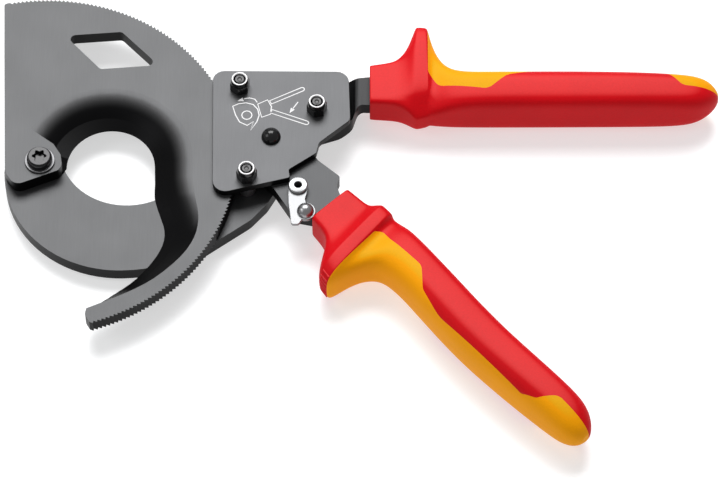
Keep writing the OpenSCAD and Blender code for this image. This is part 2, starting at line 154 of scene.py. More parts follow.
# Ground flats with fine streaks along Y, and darker edges where the surface turns away
ground_steel, takes, gives = new_group(
    "ground_steel", {"Flat": "Color", "Edge": "Color", "Rough": "Float"},
    {"Color": "Color", "Roughness": "Float", "Height": "Float"})
place = add_node(ground_steel, "ShaderNodeTexCoord", {})
streak_scale = (2600, 110, 2600)
stretch = add_node(ground_steel, "ShaderNodeMapping",
                   {"Vector": place.outputs["Object"], "Scale": streak_scale})
streaks = add_node(ground_steel, "ShaderNodeTexNoise",
                   {"Vector": stretch.outputs[0], "Scale": 1, "Detail": 2})
clouds = add_node(ground_steel, "ShaderNodeTexNoise",
                  {"Vector": place.outputs["Object"], "Scale": 60, "Detail": 3})
both = add_node(ground_steel, "ShaderNodeMix",
                {0: 0.4, 2: streaks.outputs["Fac"], 3: clouds.outputs["Fac"]})
tone = add_node(ground_steel, "ShaderNodeMapRange",
                {0: both.outputs[0], 1: 0.35, 2: 0.65, 3: 0.96, 4: 1.04})
toned = add_node(ground_steel, "ShaderNodeVectorMath",
                 {0: takes["Flat"], 3: tone.outputs[0]}, operation="SCALE")
facing = add_node(ground_steel, "ShaderNodeSeparateXYZ", {0: place.outputs["Normal"]})
level = add_node(ground_steel, "ShaderNodeMath", {0: facing.outputs["Z"]}, operation="ABSOLUTE")
flats = add_node(ground_steel, "ShaderNodeMapRange", {0: level.outputs[0], 1: 0.9, 2: 0.96},
                 interpolation_type="SMOOTHSTEP")
painted = add_node(ground_steel, "ShaderNodeMix",
                   {0: flats.outputs[0], 6: takes["Edge"], 7: toned.outputs[0]}, data_type="RGBA")
uneven = add_node(ground_steel, "ShaderNodeMath", {0: clouds.outputs["Fac"], 1: 0.1, 2: takes["Rough"]},
                  operation="MULTIPLY_ADD")
ground_steel.links.new(painted.outputs[2], gives["Color"])
ground_steel.links.new(uneven.outputs[0], gives["Roughness"])
ground_steel.links.new(streaks.outputs["Fac"], gives["Height"])


def steel_finish(name, flat, edge, rough, metallic=0.7):
    """Ground steel: the flats in one grey, edges and bores in another. Gives the group node too."""
    material, tree, principled = new_material(name, metallic, 0.2)
    ground = add_node(tree, "ShaderNodeGroup", {}, node_tree=ground_steel)
    ground.inputs["Flat"].default_value = (*flat, 1)
    ground.inputs["Edge"].default_value = (*edge, 1)
    ground.inputs["Rough"].default_value = rough
    bump = add_node(tree, "ShaderNodeBump",
                    {"Height": ground.outputs["Height"], "Strength": 0.05, "Distance": 0.05 * mm})
    tree.links.new(ground.outputs["Color"], principled.inputs["Base Color"])
    tree.links.new(ground.outputs["Roughness"], principled.inputs["Roughness"])
    tree.links.new(bump.outputs[0], principled.inputs["Normal"])
    return material, ground


def take_up(piece):
    """Makes a piece the only one selected, and the active one."""
    bpy.ops.object.select_all(action="DESELECT")
    bpy.context.view_layer.objects.active = piece
    piece.select_set(True)


def select(kind, test):
    """In edit mode: selects the verts, edges or faces that pass the test, and nothing else."""
    mesh = bmesh.from_edit_mesh(bpy.context.object.data)
    bpy.context.tool_settings.mesh_select_mode = [kind == one for one in ("verts", "edges", "faces")]
    for face in mesh.faces:
        face.select_set(False)
    for group in (mesh.verts, mesh.edges):
        for item in group:
            item.select = False
    for item in getattr(mesh, kind):
        if test(item):
            item.select_set(True)
    bmesh.update_edit_mesh(bpy.context.object.data)


def plate_copy(name, cad_node):
    """A new piece in edit mode: a CAD plate's mesh with its triangles merged back into whole faces."""
    piece = bpy.data.objects.new(name, node[cad_node].data.copy())
    scene.collection.objects.link(piece)
    piece.data.materials.clear()
    take_up(piece)
    bpy.ops.object.mode_set(mode="EDIT")
    bpy.ops.mesh.select_all(action="SELECT")
    bpy.ops.mesh.remove_doubles(threshold=0.003 * mm)
    bpy.ops.mesh.dissolve_limited(angle_limit=radians(0.4))
    bpy.ops.mesh.normals_make_consistent(inside=False)
    return piece


def rim_edge(edge, skip=None):
    """Whether an edge lies between a level flat and an upright wall, outside the skipped places."""
    if len(edge.link_faces) != 2:
        return False
    tilt = sorted(abs(face.normal.z) for face in edge.link_faces)
    middle_point = (edge.verts[0].co + edge.verts[1].co) / 2
    return tilt[0] < 0.1 and tilt[1] > 0.99 and not (skip and skip(middle_point))


def break_edges(width, skip=None):
    """In edit mode: a small rounding on the rims of a plate, then back to object mode."""
    select("edges", lambda edge: rim_edge(edge, skip))
    bpy.ops.mesh.bevel(offset=width, segments=2, affect="EDGES", clamp_overlap=True)
    bpy.ops.object.mode_set(mode="OBJECT")


def close_up(piece, material, sharp=20):
    """Smooth shading up to the sharp edges, and the piece's material."""
    take_up(piece)
    bpy.ops.object.shade_smooth_by_angle(angle=radians(sharp))
    even = piece.modifiers.new("even", "WEIGHTED_NORMAL")
    even.keep_sharp = True
    even.weight = 90
    bpy.ops.object.modifier_apply(modifier="even")
    piece.data.materials.clear()
    piece.data.materials.append(material)


black_edge = (0.004, 0.004, 0.0045)
ground_grey = (0.074, 0.075, 0.077)
blade_low, blade_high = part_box("moving_blade")
cover_low, cover_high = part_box("cover_plate")
jaw_thick = 6 * mm
bend_start, bend_end = 114 * mm, 126 * mm

# The bend gets one cut for each millimetre, and the CAD's straight step becomes a smooth curve
fixed_jaw = plate_copy("fixed_jaw", "jaw_plate")
for step in range(13):
    bpy.ops.mesh.select_all(action="SELECT")
    bpy.ops.mesh.bisect(plane_co=(bend_start + step * mm, 0, 0), plane_no=(1, 0, 0))
mesh = bmesh.from_edit_mesh(fixed_jaw.data)
tang_rise = blade_low.z
cad_step_start, cad_step_run = 118.5 * mm, 5 * mm
lower_side_lag = 1.6 * mm
for vert in mesh.verts:
    if bend_start < vert.co.x < bend_end:
        cad_slide = min(max((vert.co.x - cad_step_start) / cad_step_run, 0), 1)
        on_top = vert.co.z > jaw_thick / 2 + tang_rise * cad_slide
        lag = 0 if on_top else lower_side_lag
        slide = (vert.co.x - bend_start - lag) / (bend_end - bend_start - lower_side_lag)
        slide = min(max(slide, 0), 1)
        vert.co.z = tang_rise * slide * slide * (3 - 2 * slide) + (jaw_thick if on_top else 0)
bmesh.update_edit_mesh(fixed_jaw.data)
bpy.ops.mesh.select_all(action="SELECT")
bpy.ops.mesh.normals_make_consistent(inside=False)
head_reach = 62 * mm
break_edges(0.35 * mm, lambda p: p.z < jaw_thick / 2 and p.x < head_reach)
jaw_steel, jaw_ground = steel_finish("jaw_steel", ground_grey, black_edge, 0.36)
tree = jaw_steel.node_tree
place = add_node(tree, "ShaderNodeTexCoord", {})
along = add_node(tree, "ShaderNodeSeparateXYZ", {0: place.outputs["Object"]})
# The flats darken from x = 112 to 118 mm, over the bend, and stay darker along the tang
tang_fade_start, tang_fade_end = 0.112, 0.118
tang_grey = (0.03, 0.0303, 0.031)
tang_part = add_node(tree, "ShaderNodeMapRange", {0: along.outputs["X"], 1: tang_fade_start, 2: tang_fade_end})
flat_tone = add_node(tree, "ShaderNodeMix",
                     {0: tang_part.outputs[0], 6: (*ground_grey, 1), 7: (*tang_grey, 1)},
                     data_type="RGBA")
tree.links.new(flat_tone.outputs[2], jaw_ground.inputs["Flat"])
close_up(fixed_jaw, jaw_steel)
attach(fixed_jaw, "frame")
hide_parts("jaw_plate")


# ---------- moving blade ----------
# Hooked blade with ratchet teeth along its back. Flats are ground grey and the cutting bevel is
# blackened.
# The hollow behind it is painted shade, darkest low down, and it fades into the grey at its outer edge.
cutting_blade = plate_copy("cutting_blade", "moving_blade")
blade_top = blade_high.z
tooth_root = 75.6 * mm
break_edges(0.22 * mm, lambda p: hypot(p.x, p.y) > tooth_root or p.z < blade_top - 0.5 * mm)
blade_steel, blade_ground = steel_finish("blade_steel", ground_grey, black_edge, 0.36)
tree = blade_steel.node_tree
place = add_node(tree, "ShaderNodeTexCoord", {})
spot = add_node(tree, "ShaderNodeSeparateXYZ", {0: place.outputs["Object"]})
# Painted shade in the hollow: the colour darkens with depth, near-black just above the bevel, ground grey
# at the top
depth = add_node(tree, "ShaderNodeMapRange", {0: spot.outputs["Z"], 1: blade_low.z, 2: blade_top})
lip_grey, hollow_shade_black = (0.012, 0.012, 0.0125), 0.003
hollow_painted_shade = add_node(tree, "ShaderNodeValToRGB", {0: depth.outputs[0]})
ramp = hollow_painted_shade.color_ramp
ramp.elements[0].position, ramp.elements[0].color = 0.33, (*lip_grey, 1)
ramp.elements[1].position, ramp.elements[1].color = 0.99, (*ground_grey, 1)
for stop, grey in ((0.36, hollow_shade_black), (0.62, 2 * hollow_shade_black), (0.85, 0.03), (0.95, 0.055)):
    element = ramp.elements.new(stop)
    element.color = (grey, grey, grey * 1.03, 1)
faces_down = add_node(tree, "ShaderNodeSeparateXYZ", {0: place.outputs["Normal"]})
back_side = add_node(tree, "ShaderNodeMapRange", {0: faces_down.outputs["Z"], 1: -0.2, 2: -0.8})
blade_tone = add_node(tree, "ShaderNodeMix", {0: back_side.outputs[0], 6: hollow_painted_shade.outputs[0],
                                             7: (*ground_grey, 1)}, data_type="RGBA")
tree.links.new(blade_tone.outputs[2], blade_ground.inputs["Flat"])
close_up(cutting_blade, blade_steel, 22)
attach(cutting_blade, "blade")
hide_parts("moving_blade")


# ---------- bearings and posts inside the housing ----------
# Bronze bushes pressed into blade and lever, turned steel sleeves and pins, and the two
# hardened pawls. Little of them shows, between the plates and in the side view.

# A fine grain for any finish, with a tone that drifts by Spread and a grain whose scale is given. It also
# paints light and shade: the base colour on upward faces as a lit top, the side colour elsewhere as
# painted shade.
speckle_and_painted_light, takes, gives = new_group(
    "speckle_and_painted_light", {"Base": "Color", "Side": "Color", "Spread": "Float", "Rough": "Float", "Grain": "Float"},
    {"Color": "Color", "Roughness": "Float", "Height": "Float"})
place = add_node(speckle_and_painted_light, "ShaderNodeTexCoord", {})
grain = add_node(speckle_and_painted_light, "ShaderNodeTexNoise",
                 {"Vector": place.outputs["Object"], "Scale": takes["Grain"], "Detail": 3,
                  "Roughness": 0.6})
drift = add_node(speckle_and_painted_light, "ShaderNodeTexNoise",
                 {"Vector": place.outputs["Object"], "Scale": 45, "Detail": 2})
swing = add_node(speckle_and_painted_light, "ShaderNodeMath",
                 {0: drift.outputs["Fac"], 1: grain.outputs["Fac"]}, operation="ADD")
swing = add_node(speckle_and_painted_light, "ShaderNodeMath", {0: swing.outputs[0], 1: 1.0}, operation="SUBTRACT")
swing = add_node(speckle_and_painted_light, "ShaderNodeMath",
                 {0: swing.outputs[0], 1: takes["Spread"], 2: 1.0}, operation="MULTIPLY_ADD")
# Painted light: upward faces take the base colour as a lit top, all other faces the side colour as
# painted shade
facing = add_node(speckle_and_painted_light, "ShaderNodeSeparateXYZ", {0: place.outputs["Normal"]})
lit_top_mask = add_node(speckle_and_painted_light, "ShaderNodeMapRange", {0: facing.outputs["Z"], 1: 0.9, 2: 0.995},
                  interpolation_type="SMOOTHSTEP")
shade = add_node(speckle_and_painted_light, "ShaderNodeMix",
                 {0: lit_top_mask.outputs[0], 6: takes["Side"], 7: takes["Base"]}, data_type="RGBA")
tinted = add_node(speckle_and_painted_light, "ShaderNodeVectorMath",
                  {0: shade.outputs[2], 3: swing.outputs[0]}, operation="SCALE")
worn = add_node(speckle_and_painted_light, "ShaderNodeMath",
                {0: grain.outputs["Fac"], 1: 0.1, 2: takes["Rough"]}, operation="MULTIPLY_ADD")
speckle_and_painted_light.links.new(tinted.outputs[0], gives["Color"])
speckle_and_painted_light.links.new(worn.outputs[0], gives["Roughness"])
speckle_and_painted_light.links.new(grain.outputs["Fac"], gives["Height"])


def speckled_finish(name, base, rough, metallic, side=None, spread=0.3, grain_scale=1500,
                    bump_height=0.01, specular=0.5):
    """A plain finish with a fine grain: colour drift, uneven gloss and a low bump. A side colour, if
    given, is painted shade on all but the upward faces.
    """
    material, tree, principled = new_material(name, metallic, specular)
    fine = add_node(tree, "ShaderNodeGroup", {}, node_tree=speckle_and_painted_light)
    fine.inputs["Base"].default_value = (*base, 1)
    fine.inputs["Side"].default_value = (*(side or base), 1)
    fine.inputs["Spread"].default_value = spread
    fine.inputs["Rough"].default_value = rough
    fine.inputs["Grain"].default_value = grain_scale
    bump = add_node(tree, "ShaderNodeBump", {"Height": fine.outputs["Height"], "Strength": 0.5,
                                             "Distance": bump_height * mm})
    tree.links.new(fine.outputs["Color"], principled.inputs["Base Color"])
    tree.links.new(fine.outputs["Roughness"], principled.inputs["Roughness"])
    tree.links.new(bump.outputs[0], principled.inputs["Normal"])
    return material


def refinish(material, *names):
    """Gives CAD nodes a better material on their own slots."""
    for name in names:
        for slot in node[name].material_slots:
            slot.material = material


bearing_bronze = speckled_finish("bearing_bronze", (0.42, 0.25, 0.11), 0.3, 0.9)
turned_steel = speckled_finish("turned_steel", (0.3, 0.3, 0.31), 0.28, 0.9)
hardened_steel = speckled_finish("hardened_steel", (0.075, 0.075, 0.08), 0.32, 0.8)
refinish(bearing_bronze, "blade_bush", "lever_bush")
refinish(turned_steel, "pivot_sleeve", "spacer_sleeves", "drive_pawl_pin", "holding_pawl_pin",
         "spring_post", "latch_washer")
refinish(hardened_steel, "drive_pawl", "holding_pawl")


# ---------- springs ----------
# Round spring wire: a compression spring that opens the handles, between the lever and a post,
# and a small torsion coil on the pin of each pawl. Bright, lightly oiled.
def coil(name, centre, coil_radius, wire_radius, turns, height):
    """A helix of round wire that stands on centre: a ring of wire screwed up round Z, ends closed."""
    bpy.ops.object.select_all(action="DESELECT")
    bpy.ops.mesh.primitive_circle_add(vertices=12, radius=wire_radius, rotation=(pi / 2, 0, 0),
                                      location=(coil_radius, 0, wire_radius))
    piece = bpy.context.object
    piece.name = name
    bpy.ops.object.transform_apply(location=True, rotation=True, scale=True)
    screw = piece.modifiers.new("screw", "SCREW")
    screw.axis = "Z"
    screw.angle = 2 * pi * turns
    screw.screw_offset = height - 2 * wire_radius
    screw.steps = screw.render_steps = 28 * turns
    bpy.ops.object.modifier_apply(modifier="screw")
    bpy.ops.object.mode_set(mode="EDIT")
    bpy.ops.mesh.select_all(action="SELECT")
    bpy.ops.mesh.fill_holes(sides=0)
    bpy.ops.mesh.normals_make_consistent(inside=False)
    bpy.ops.object.mode_set(mode="OBJECT")
    piece.data.transform(Matrix.Translation(centre))
    return piece


spring_wire = speckled_finish("spring_wire", (0.5, 0.5, 0.52), 0.22, 0.95)
push_from, push_to = Vector((100.2, 15.4, 9.05)) * mm, Vector((98.4, 35.4, 9.05)) * mm
push_way = (push_to - push_from).normalized()
seat_gap, post_gap = 1.1 * mm, 1.8 * mm
push_length = (push_to - push_from).length - seat_gap - post_gap
push_spring = coil("push_spring", Vector((0, 0, 0)), 2.0 * mm, 0.42 * mm, 9, push_length)
push_spring.data.transform(Matrix.Translation(push_from + push_way * seat_gap)
                           @ push_way.to_track_quat("Z", "Y").to_matrix().to_4x4())
close_up(push_spring, spring_wire, 50)
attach(push_spring, "frame")
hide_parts("opening_spring")
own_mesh(push_spring)

for name, cad_node, body, coil_radius in (("drive_coil", "drive_pawl_spring", "handle", 2.2),
                                          ("holding_coil", "holding_pawl_spring", "frame", 2.5)):
    low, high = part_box(cad_node)
    centre = Vector(((low.x + high.x) / 2, (low.y + high.y) / 2, low.z))
    pawl_coil = coil(name, centre, coil_radius * mm, 0.24 * mm, 2, high.z - low.z)
    close_up(pawl_coil, spring_wire, 50)
    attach(pawl_coil, body)
    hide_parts(cad_node)


# ---------- handle lever ----------
# The 5.9 mm lever that swings between jaw plate and cover: its neck shows between the cover
# and the lower grip. Ground flats, a shade darker than the cover, with black edges.
swing_lever = plate_copy("swing_lever", "handle_lever")
neck_inside = (7 * mm, 11.8 * mm)
break_edges(0.3 * mm, lambda p: neck_inside[0] < p.z < neck_inside[1])
lever_steel = steel_finish("lever_steel", (0.065, 0.066, 0.068), black_edge, 0.38)[0]
close_up(swing_lever, lever_steel)
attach(swing_lever, "handle")
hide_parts("handle_lever")


# ---------- housing cover ----------
# The 3 mm cover plate over pawls and lever, held by three bolts. Ground top, small rounding
# all round, black edge.
housing_cover = plate_copy("housing_cover", "cover_plate")
break_edges(0.4 * mm)
cover_steel = steel_finish("cover_steel", (0.082, 0.083, 0.086), black_edge, 0.36)[0]
close_up(housing_cover, cover_steel)
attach(housing_cover, "frame")
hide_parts("cover_plate")


# ---------- printed sign on the cover ----------
# White ink, as thin as paper: a plain sign of a cutter with one arrow at a handle and one at the
# jaw, for closing the handle and turning the blade.
def loft(name, rings):
    """A closed skin: a circle laid on the first ring and extruded from ring to ring. Ends are
    capped, or joined where the last ring is the first."""
    bpy.ops.object.select_all(action="DESELECT")
    bpy.ops.mesh.primitive_circle_add(vertices=len(rings[0]), radius=mm)
    piece = bpy.context.object
    piece.name = name
    bpy.ops.object.mode_set(mode="EDIT")
    mesh = bmesh.from_edit_mesh(piece.data)
    order = mesh.verts.layers.int.new("order")
    mesh.verts.ensure_lookup_table()
    for k, vert in enumerate(mesh.verts):
        vert[order] = k
        vert.co = rings[0][k]
    for ring in rings[1:]:
        bpy.ops.mesh.extrude_edges_indiv()
        mesh = bmesh.from_edit_mesh(piece.data)
        order = mesh.verts.layers.int["order"]
        for vert in mesh.verts:
            if vert.select:
                vert.co = ring[vert[order]]
    bmesh.update_edit_mesh(piece.data)
    bpy.ops.mesh.select_all(action="SELECT")
    bpy.ops.mesh.remove_doubles(threshold=0.001 * mm)
    bpy.ops.mesh.select_all(action="SELECT")
    bpy.ops.mesh.fill_holes(sides=0)
    bpy.ops.mesh.select_all(action="SELECT")
    bpy.ops.mesh.normals_make_consistent(inside=False)
    bpy.ops.object.mode_set(mode="OBJECT")
    piece.data.attributes.remove(piece.data.attributes["order"])
    return piece


ink_levels = (-0.02, 0.03)


def on_cover(points, z):
    """Points of the plan, in mm, at a height above the cover's top."""
    return [Vector((q.x * mm, q.y * mm, cover_high.z + z * mm)) for q in points]


def ink_stroke(name, path, width, closed=False):
    """A flat stroke of ink along a path in plan, in mm, on top of the cover."""
    path = [Vector(p) for p in path]
    sides = ([], [])
    for k, here in enumerate(path):
        before = path[k - 1] if k or closed else here - (path[1] - here)
        last = k + 1 == len(path) and not closed
        after = here + (here - path[k - 1]) if last else path[(k + 1) % len(path)]
        way = ((here - before).normalized() + (after - here).normalized()).normalized()
        for side, points in zip((1, -1), sides):
            points.append(here + side * width / 2 * Vector((-way.y, way.x)))
    if not closed:
        loop = sides[0] + sides[1][::-1]
        return loft(name, [on_cover(loop, z) for z in ink_levels])
    foot, crown = ink_levels
    return loft(name, [on_cover(points, z) for points, z in (
        (sides[0], foot), (sides[0], crown), (sides[1], crown), (sides[1], foot), (sides[0], foot))])


def capsule(start, end, width):
    """The outline of a handle in the sign: two long sides, rounded at the far end."""
    way = (Vector(end) - Vector(start)).normalized()
    across = Vector((-way.y, way.x)) * width / 2
    tip = [Vector(end) + across * cos(t) + way * sin(t) * width / 2
           for t in (0, pi / 4, pi / 2, 3 * pi / 4, pi)]
    return [Vector(start) + across, *tip, Vector(start) - across]


sign_handles = [capsule((89.6, 25.4), (102, 31.6), 1.7), capsule((90, 21.2), (103.8, 15.8), 1.7)]
sign_housing = ((84.6, 24.6), (88.4, 26.6), (90, 23.4), (89.6, 19.8), (86.2, 18.4))
sign_blade = ((74.8, 23.6), (77.2, 24.8), (80, 25.2), (82.8, 24.4), (84.6, 22.2), (85.2, 19.4),
              (84.4, 16.4), (82, 12.4), (83, 16.4), (80.6, 14.6), (77.6, 16.2), (76, 19.4))
sign_cable = [(80.4 + 2 * cos(t * pi / 6), 19.4 + 2 * sin(t * pi / 6)) for t in range(12)]
arrow_shafts = (((100.4, 25.6), (98.2, 22.2)), ((84.4, 25.4), (83.4, 26.9), (81.4, 27.5), (79.2, 27.1)))
arrow_tips = (((97.1, 20.4), (-1.2, -1.9)), ((76.6, 26), (-1.9, -0.7)))
head_length, head_half = 2.4, 0.9
stroke_width = 0.42
sign = [ink_stroke("ink", path, stroke_width, True)
        for path in (*sign_handles, sign_housing, sign_blade, sign_cable)]
sign += [ink_stroke("ink", path, stroke_width) for path in arrow_shafts]
for tip, way in arrow_tips:
    way = Vector(way).normalized()
    across = Vector((-way.y, way.x)) * head_half
    back = Vector(tip) - way * head_length
    corners = (Vector(tip), back + across, back - across)
    sign.append(loft("ink", [on_cover(corners, z) for z in ink_levels]))
take_up(sign[0])
for stroke in sign:
    stroke.select_set(True)
bpy.ops.object.join()
cover_sign = sign[0]
cover_sign.name = "cover_sign"
white_ink = speckled_finish("white_ink", (0.95, 0.95, 0.96), 0.5, 0.0, spread=0.05, specular=0.4)
close_up(cover_sign, white_ink)
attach(cover_sign, "frame")


# ---------- jaw pivot ----------
# Button head screw with a six-lobed recess, blackened, on a zinc-plated washer that shows as a
# thin ring round the head. It clamps the sleeve that the blade turns on.
def turned(name, centre, profile, steps=64):
    """A part turned on a lathe round a Z axis through centre, from [radius, height] in mm."""
    return loft(name, [[Vector((centre.x + r * mm * cos(2 * pi * k / steps),
                                centre.y + r * mm * sin(2 * pi * k / steps), centre.z + z * mm))
                        for k in range(steps)] for r, z in profile])


def round_off(centre_r, centre_z, radius, start, end, count):
    """Points of a quarter round for a profile, angles in degrees."""
    angles = [radians(start + (end - start) * k / count) for k in range(count + 1)]
    return [(centre_r + radius * cos(angle), centre_z + radius * sin(angle)) for angle in angles]


def cut(piece, tool, operation="DIFFERENCE"):
    """Cuts tool out of piece, or joins or intersects them, and removes the tool."""
    take_up(piece)
    knife = piece.modifiers.new("knife", "BOOLEAN")
    knife.operation = operation
    knife.solver = "EXACT"
    knife.object = tool
    bpy.ops.object.modifier_apply(modifier="knife")
    bpy.data.objects.remove(tool)


blackened = speckled_finish("blackened_steel", (0.008, 0.008, 0.009), 0.14, 0.3, spread=0.5, specular=0.6)
zinc_bright = speckled_finish("zinc_bright", (0.32, 0.323, 0.33), 0.26, 0.9, spread=0.12)
screw_centre = Vector((0, 0, cover_low.z + 0.8 * mm))
shank_end = -11.3
pivot_head = turned("pivot_head", screw_centre, [
    (0, shank_end), (2.8, shank_end), (3, shank_end + 0.2), (3, 0), (4.75, 0),
    *round_off(4.8, 0.2, 0.2, -90, 0, 3),
    (5, 0.9), *round_off(2.4, 0.9, 2.6, 8, 50, 9), (3.5, 2.9), (0, 2.9)])
lobes = [Vector((r * cos(a), r * sin(a), 0)) * mm for a, r in
         ((2 * pi * k / 72, 2.35 + 0.4 * cos(6 * 2 * pi * k / 72)) for k in range(72))]
recess = loft("recess", [[p * 0.94 + screw_centre + Vector((0, 0, 1.1 * mm)) for p in lobes],
                         [p + screw_centre + Vector((0, 0, 2.6 * mm)) for p in lobes],
                         [p * 1.12 + screw_centre + Vector((0, 0, 3.2 * mm)) for p in lobes]])
cut(pivot_head, recess)
close_up(pivot_head, blackened, 35)
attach(pivot_head, "frame")
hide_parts("pivot_screw")
pivot_ring = turned("pivot_ring", Vector((0, 0, cover_low.z)), [
    (3, 0), (5.8, 0), (5.9, 0.1), *round_off(5.65, 0.55, 0.25, 0, 90, 4), (3, 0.8), (3, 0)])
washer_zinc = speckled_finish("washer_zinc", (0.15, 0.15, 0.155), 0.3, 0.8)
close_up(pivot_ring, washer_zinc, 40)
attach(pivot_ring, "frame")
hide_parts("pivot_washer")


# ---------- housing bolts and lock nuts ----------
# Three countersunk bolts from the back, each with a blackened lock nut: a hexagon with turned
# corners and a round collar, which holds an insert ring round the dark bolt end, white as a painted
# highlight on the collar's rim.
nut_seat = cover_high.z
nut_across = 7 * mm
nut_turns = (0.35, 0.2, 0.1)
bolt_reach = nut_seat / mm + 5.4
bolt_places = [Vector((x, y, 0)) * mm for x, y in ((77.5, 32.5), (107.8, 22), (80.8, -9))]
# The insert's white is a painted highlight of the collar's rim
insert_white_highlight = speckled_finish("insert_white_highlight", (0.86, 0.86, 0.87), 0.3, 0.2, spread=0.08)


def hexagon(centre, across, turn):
    """The six corners of a hexagon of that width across the flats."""
    reach = across / 2 / cos(pi / 6)
    angles = [turn + k * pi / 3 for k in range(6)]
    return [centre + Vector((cos(angle), sin(angle), 0)) * reach for angle in angles]


for k, (spot, turn) in enumerate(zip(bolt_places, nut_turns)):
    seat = spot + Vector((0, 0, nut_seat))
    nut = loft(f"lock_nut_{k + 1}", [hexagon(seat + Vector((0, 0, z)), nut_across, turn)
                                     for z in (0, 4.2 * mm)])
    blank = turned("blank", seat, [(0, -0.5), (3.65, -0.5), (3.65, 0), (4.08, 0.35), (4.08, 3.7),
                                   (3.6, 4.2), (3.5, 4.6), (0, 4.6)])
    cut(nut, blank, "INTERSECT")
    collar = turned("collar", seat, [(0, 3.5), (3.42, 3.5), (3.42, 4.4), (3.3, 5.4),
                                     *round_off(3.0, 5.75, 0.25, 0, 90, 4), (0, 6)])
    cut(nut, collar, "UNION")
    cut(nut, turned("bore", seat, [(0, -1), (2, -1), (2, 4), (2.85, 4), (2.85, 7), (0, 7)]))
    close_up(nut, blackened, 25)
    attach(nut, "frame")
    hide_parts("lock_nuts")
    insert = turned(f"nut_insert_{k + 1}", seat, [
        (2.45, 5.2), (2.95, 5.7), (3.1, 5.95), *round_off(2.92, 6.0, 0.2, 0, 90, 3),
        (2.6, 6.15), (2.45, 6.0), (2.45, 5.2)])
    close_up(insert, insert_white_highlight, 40)
    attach(insert, "frame")
    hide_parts("nut_inserts")
    bolt = turned(f"housing_bolt_{k + 1}", spot, [
        (0, 0), (4.1, 0), (4.2, 0.1), (2, 2.25), (2, bolt_reach), (1.7, bolt_reach + 0.5),
        (0.9, bolt_reach + 0.4), (0.6, bolt_reach + 0.1), (0, bolt_reach + 0.1)])
    socket = loft("socket", [hexagon(spot + Vector((0, 0, z)), 2.5 * mm, 0) for z in (-mm, 1.5 * mm)])
    cut(bolt, socket)
    close_up(bolt, blackened, 30)
    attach(bolt, "frame")
    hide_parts("housing_bolts")


# ---------- fulcrum rivet ----------
# Shouldered rivet that the lever swings on: glossy black dome on the cover, flush at the back.
rivet_spot = Vector((90 * mm, 9.2 * mm, 0))
fulcrum_dome = turned("fulcrum_dome", rivet_spot, [
    (0, 0), (4.5, 0), (4.6, 0.1), (2.5, 2.15), (2.5, 6), (3.6, 6), (3.6, 12.1), (2.5, 12.1), (2.5, 15.1),
    (3.65, 15.1), *round_off(0, 14.9, 3.8, 6, 90, 14)])
close_up(fulcrum_dome, blackened, 40)
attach(fulcrum_dome, "frame")
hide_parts("fulcrum_rivet")


# ---------- latch ----------
# Zinc-plated sheet latch on a hollow rivet, with a polished ball to push it by. It lies on the
# lever and swings against the cover's edge.
latch_tab = plate_copy("latch_tab", "latch_plate")
break_edges(0.22 * mm)
latch_zinc = speckled_finish("latch_zinc", (0.3, 0.303, 0.31), 0.38, 0.75, spread=0.25)
close_up(latch_tab, latch_zinc, 40)
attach(latch_tab, "latch")
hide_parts("latch_plate")
latch_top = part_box("latch_plate")[1].z
latch_spot = Vector((100.7 * mm, -12.9 * mm, 0))
rivet_base = latch_top / mm
hollow_rivet = turned("hollow_rivet", latch_spot, [
    (1.35, 11), (1.6, 11), (1.6, rivet_base + 0.05), (3.7, rivet_base + 0.05),
    *round_off(3.2, rivet_base + 0.6, 0.65, -20, 80, 7), (2.1, rivet_base + 1.3),
    *round_off(1.75, rivet_base + 0.95, 0.4, 90, 180, 3), (1.35, 11)])
close_up(hollow_rivet, zinc_bright, 50)
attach(hollow_rivet, "handle")
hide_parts("latch_rivet")
polished = speckled_finish("polished_steel", (0.4, 0.4, 0.41), 0.26, 1.0, spread=0.05, bump_height=0.002)
push_ball = turned("push_ball", Vector((103.6 * mm, -24.2 * mm, latch_top)), [
    (0, -1.4), (1.2, -1.4), (1.2, 0), (3.0, 0), *round_off(0, -0.3, 3.35, 6, 90, 16)])
close_up(push_ball, polished, 60)
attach(push_ball, "latch")
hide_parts("latch_ball")


# ---------- grips ----------
# Hard red plastic moulded round each tang: a boxy collar, a guard with a flat rim, a thumb rest
# and a long body with one nearly upright side. The soft orange-yellow pad is moulded on it.
def ring_of(grip_place, tilt, x, inner, palm, half, boxy, soft, slope, lean=0.0, count=36):
    """One cross-section of a grip: boxy towards the inner side, softer towards the palm. Its
    thickness slopes to the inner side and may fall away there; near the guard it may tilt."""
    points = []
    near_guard = min(max((x - 7) / 8, 0), 1) * min(max((36 - x) / 10, 0), 1)
    for k in range(count):
        c, s = cos(2 * pi * (k + 0.5) / count), sin(2 * pi * (k + 0.5) / count)
        power = 2 / (soft if c > 0 else boxy)
        u, w = copysign(abs(c) ** power, c), copysign(abs(s) ** power, s)
        y = (inner + palm) / 2 + u * (palm - inner) / 2
        fall = lean * max(0, (-u - 0.42) / 0.58) * (1 if w > 0 else 0.45)
        thick = half * (1 - slope * max(0, -u) ** 1.4 - fall)
        points.append(grip_place @ (Vector((x + tilt * near_guard * (y - 5), y, w * thick)) * mm))
    return points


def grip_blank(name, grip_place, tilt, stations):
    """A whole grip: its cross-sections lofted, its ends held crisp, and smoothed."""
    piece = loft(name, [ring_of(grip_place, tilt, *station) for station in stations])
    bpy.ops.object.mode_set(mode="EDIT")
    select("faces", lambda face: len(face.verts) > 8)
    bpy.ops.mesh.inset(thickness=0.5 * mm, depth=0)
    bpy.ops.object.mode_set(mode="OBJECT")
    smooth = piece.modifiers.new("smooth", "SUBSURF")
    smooth.levels = smooth.render_levels = 2
    bpy.ops.object.modifier_apply(modifier="smooth")
    return piece


